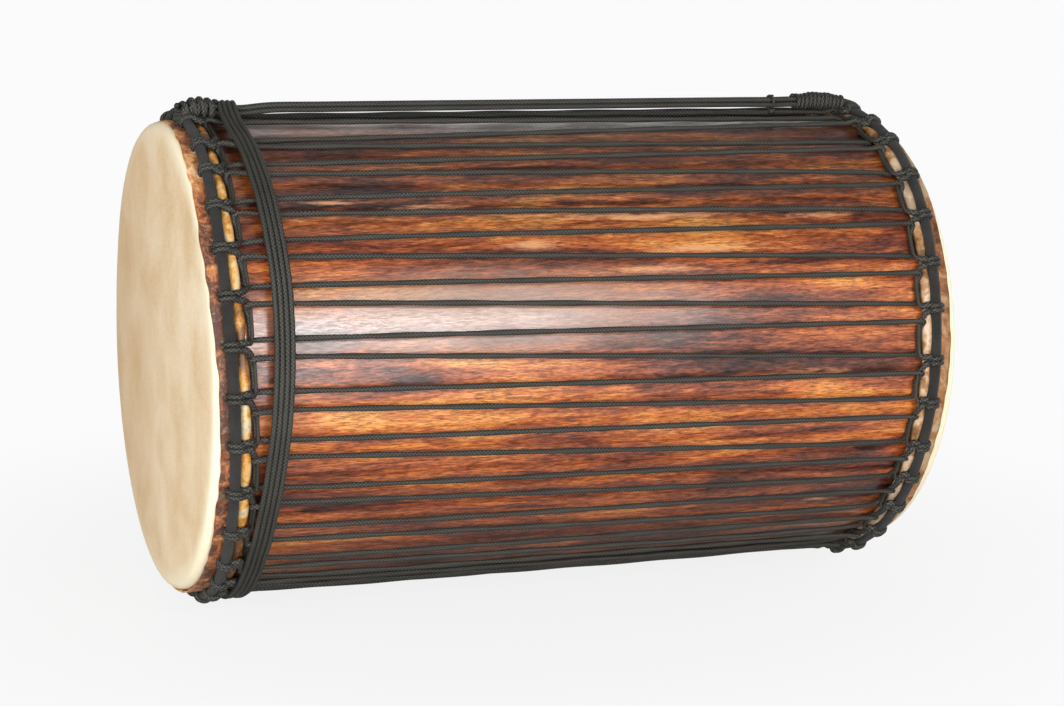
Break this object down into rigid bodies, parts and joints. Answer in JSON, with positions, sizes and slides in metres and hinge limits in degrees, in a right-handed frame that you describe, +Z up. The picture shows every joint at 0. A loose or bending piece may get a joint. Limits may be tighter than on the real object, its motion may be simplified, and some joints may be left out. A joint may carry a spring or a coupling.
{
  "type": "rope-tuned cylinder drum",
  "caption": "Two-headed carved wooden cylinder drum lying on its side, with hide heads on rope-wrapped rings, rope lacing along the body, a rope binding and a rope carrying strap.",
  "frame": {"origin": "centre of the bounding box in X and Y, on the floor that the rope hitches rest on", "axes": "+X along the drum toward the right head, -Y toward the viewer's side, +Z up; the drum axis is parallel to X"},
  "size_m": [0.713, 0.4662, 0.4748],
  "materials": {
    "wood_shell": "oiled and rubbed, reddish brown with dark streaks",
    "rawhide": "dry cowhide, cream with brown hair marks at the collar",
    "steel_ring": "bent steel rod",
    "black_cloth": "black woven strip wound tight",
    "black_rope": "braided polyester, dull black"
  },
  "bodies": {
    "root": {"shell": "wood_shell", "head_skin_left": "rawhide", "head_skin_right": "rawhide", "flesh_ring_left": "steel_ring", "flesh_ring_right": "steel_ring", "crown_ring_left": "steel_ring", "crown_ring_right": "steel_ring", "crown_cloth_left": "black_cloth", "crown_cloth_right": "black_cloth", "hitch_rope_left": "black_rope", "hitch_rope_right": "black_rope", "lacing_rope": "black_rope", "binding_rope": "black_rope", "strap_rope": "black_rope", "strap_whipping": "black_rope", "strap_tie": "black_rope"}
  },
  "joints": []
}
